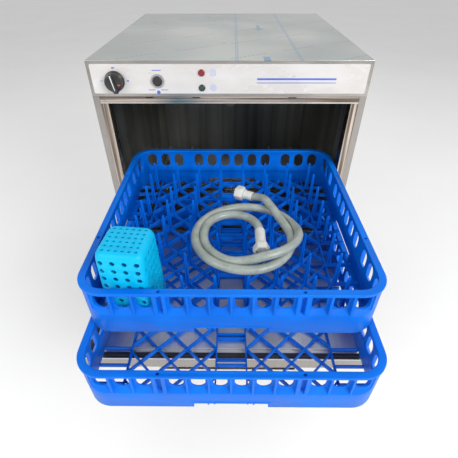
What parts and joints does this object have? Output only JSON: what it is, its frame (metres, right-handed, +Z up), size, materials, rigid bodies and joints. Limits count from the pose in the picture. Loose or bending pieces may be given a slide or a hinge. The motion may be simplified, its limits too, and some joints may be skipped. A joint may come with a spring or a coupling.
{
  "type": "under-counter glass washer",
  "caption": "Stainless under-counter glass washer with a fold-down door, stacked square glass racks, a cutlery cup and a coiled fill hose.",
  "frame": {"origin": "on the floor, at the centre of the space that the machine, its open door and the racks take up", "axes": "+X to the right seen from the front, +Y in through the door, +Z up"},
  "size_m": [0.47, 0.919, 0.7],
  "materials": {
    "brushed_steel": "brushed stainless sheet",
    "bright_steel": "bright stainless sheet",
    "overlay": "pale grey printed overlay",
    "rubber": "black rubber",
    "black_plastic": "black moulded plastic",
    "red_lens": "red lens",
    "green_lens": "green lens",
    "chrome": "chromed",
    "grey_plastic": "grey moulded plastic",
    "white_plastic": "white moulded plastic",
    "rack_blue": "blue moulded polypropylene",
    "cup_cyan": "cyan moulded polypropylene",
    "hose_grey": "grey ribbed hose",
    "boiler_steel": "drawn stainless vessel",
    "pcb": "green circuit board and black relays",
    "cast_housing": "dark glass-filled plastic",
    "motor_metal": "cast aluminium"
  },
  "bodies": {
    "cabinet": {"base_frame": "brushed_steel", "left_side_panel": "brushed_steel", "right_side_panel": "brushed_steel", "rear_panel": "brushed_steel", "top_panel": "brushed_steel", "door_frame": "bright_steel", "lower_front_panel": "brushed_steel", "control_panel": "brushed_steel", "panel_overlay": "overlay", "panel_screws": "chrome", "chamber_panels": "bright_steel", "rear_wall_fitting": "chrome", "wash_tank": "bright_steel", "rack_rails": "bright_steel", "tank_heater": "chrome", "arm_spindles": "grey_plastic", "wash_pump_housing": "cast_housing", "wash_pump_motor": "motor_metal", "wash_pipes": "rubber", "rinse_boiler": "boiler_steel", "inlet_valve": "white_plastic", "rinse_pipes": "rubber", "drain_pump_housing": "cast_housing", "drain_pipes": "grey_plastic", "rinse_doser": "grey_plastic", "sensing_switches": "black_plastic", "control_electronics": "pcb", "cable_gland": "black_plastic", "selector_switch": "black_plastic", "button_bezel": "chrome", "button_spring": "chrome", "red_lamp": "red_lens", "green_lamp": "green_lens", "hinge_brackets": "bright_steel"},
    "door": {"door_outer_skin": "brushed_steel", "door_inner_skin": "bright_steel", "door_gasket": "rubber", "door_handle": "brushed_steel", "hinge_pins": "chrome"},
    "lower_rack": {"lower_rack": "rack_blue"},
    "upper_rack": {"upper_rack": "rack_blue", "upper_rack_pegs": "rack_blue", "fill_hose_coil": "hose_grey", "hose_fittings": "white_plastic"},
    "cutlery_cup": {"cutlery_cup": "cup_cyan"},
    "selector_knob": {"selector_knob": "black_plastic"},
    "start_button": {"start_button": "black_plastic"},
    "lower_wash_arm": {"lower_wash_arm": "bright_steel"},
    "lower_rinse_arm": {"lower_rinse_arm": "bright_steel"},
    "upper_wash_arm": {"upper_wash_arm": "bright_steel"},
    "upper_rinse_arm": {"upper_rinse_arm": "bright_steel"},
    "wash_pump_impeller": {"wash_pump_impeller": "grey_plastic"},
    "drain_pump_rotor": {"drain_pump_rotor": "grey_plastic"},
    "doser_rotor": {"doser_rotor": "white_plastic"},
    "overflow_standpipe": {"overflow_standpipe": "grey_plastic"},
    "tank_filter": {"tank_filter": "brushed_steel"},
    "foot_front_left": {"foot_front_left": "black_plastic"},
    "foot_rear_left": {"foot_rear_left": "black_plastic"},
    "foot_front_right": {"foot_front_right": "black_plastic"},
    "foot_rear_right": {"foot_rear_right": "black_plastic"}
  },
  "joints": [
    {"name": "door_swing", "type": "hinge", "parent": "cabinet", "child": "door", "pos_m": [0, -0.0815, 0.3395], "axis": [-1, 0, 0], "range_deg": [0, 90]},
    {"name": "rack_stack_lift", "type": "slide", "parent": "cabinet", "child": "lower_rack", "axis": [0, -0.5736, 0.8192], "range_m": [0, 0.585]},
    {"name": "upper_rack_slide", "type": "slide", "parent": "lower_rack", "child": "upper_rack", "axis": [0, 1, 0], "range_m": [0, 0.33]},
    {"name": "cutlery_cup_lift", "type": "slide", "parent": "upper_rack", "child": "cutlery_cup", "axis": [0, 0, 1], "range_m": [0, 0.15]},
    {"name": "selector_knob_turn", "type": "hinge", "parent": "cabinet", "child": "selector_knob", "pos_m": [-0.191, -0.0675, 0.668], "axis": [0, 1, 0], "range_deg": [0, 270]},
    {"name": "start_button_press", "type": "slide", "parent": "cabinet", "child": "start_button", "axis": [0, 1, 0], "range_m": [0, 0.003], "stiffness_N_per_m": 300, "deforming": ["button_spring"]},
    {"name": "lower_wash_arm_spin", "type": "hinge", "parent": "cabinet", "child": "lower_wash_arm", "pos_m": [0, 0.16, 0.324], "axis": [0, 0, 1], "continuous": true},
    {"name": "lower_rinse_arm_spin", "type": "hinge", "parent": "cabinet", "child": "lower_rinse_arm", "pos_m": [0, 0.16, 0.337], "axis": [0, 0, 1], "continuous": true},
    {"name": "upper_wash_arm_spin", "type": "hinge", "parent": "cabinet", "child": "upper_wash_arm", "pos_m": [0, 0.16, 0.604], "axis": [0, 0, 1], "continuous": true},
    {"name": "upper_rinse_arm_spin", "type": "hinge", "parent": "cabinet", "child": "upper_rinse_arm", "pos_m": [0, 0.16, 0.592], "axis": [0, 0, 1], "continuous": true},
    {"name": "wash_pump_spin", "type": "hinge", "parent": "cabinet", "child": "wash_pump_impeller", "pos_m": [0, 0.16, 0.125], "axis": [1, 0, 0], "continuous": true},
    {"name": "drain_pump_spin", "type": "hinge", "parent": "cabinet", "child": "drain_pump_rotor", "pos_m": [0.12, 0.3, 0.08], "axis": [0, 1, 0], "continuous": true},
    {"name": "doser_spin", "type": "hinge", "parent": "cabinet", "child": "doser_rotor", "pos_m": [0.177, 0.378, 0.283], "axis": [0, 1, 0], "continuous": true},
    {"name": "standpipe_lift", "type": "slide", "parent": "cabinet", "child": "overflow_standpipe", "axis": [0, 0, 1], "range_m": [0, 0.1]},
    {"name": "tank_filter_lift", "type": "slide", "parent": "cabinet", "child": "tank_filter", "axis": [0, 0, 1], "range_m": [0, 0.04]},
    {"name": "foot_front_left_height", "type": "slide", "parent": "cabinet", "child": "foot_front_left", "axis": [0, 0, -1], "range_m": [0, 0.012]},
    {"name": "foot_rear_left_height", "type": "slide", "parent": "cabinet", "child": "foot_rear_left", "axis": [0, 0, -1], "range_m": [0, 0.012]},
    {"name": "foot_front_right_height", "type": "slide", "parent": "cabinet", "child": "foot_front_right", "axis": [0, 0, -1], "range_m": [0, 0.012]},
    {"name": "foot_rear_right_height", "type": "slide", "parent": "cabinet", "child": "foot_rear_right", "axis": [0, 0, -1], "range_m": [0, 0.012]}
  ],
  "couplings": [
    {"joint": "rack_stack_lift", "follows": "door_swing", "m_per_rad": 0.372}
  ]
}
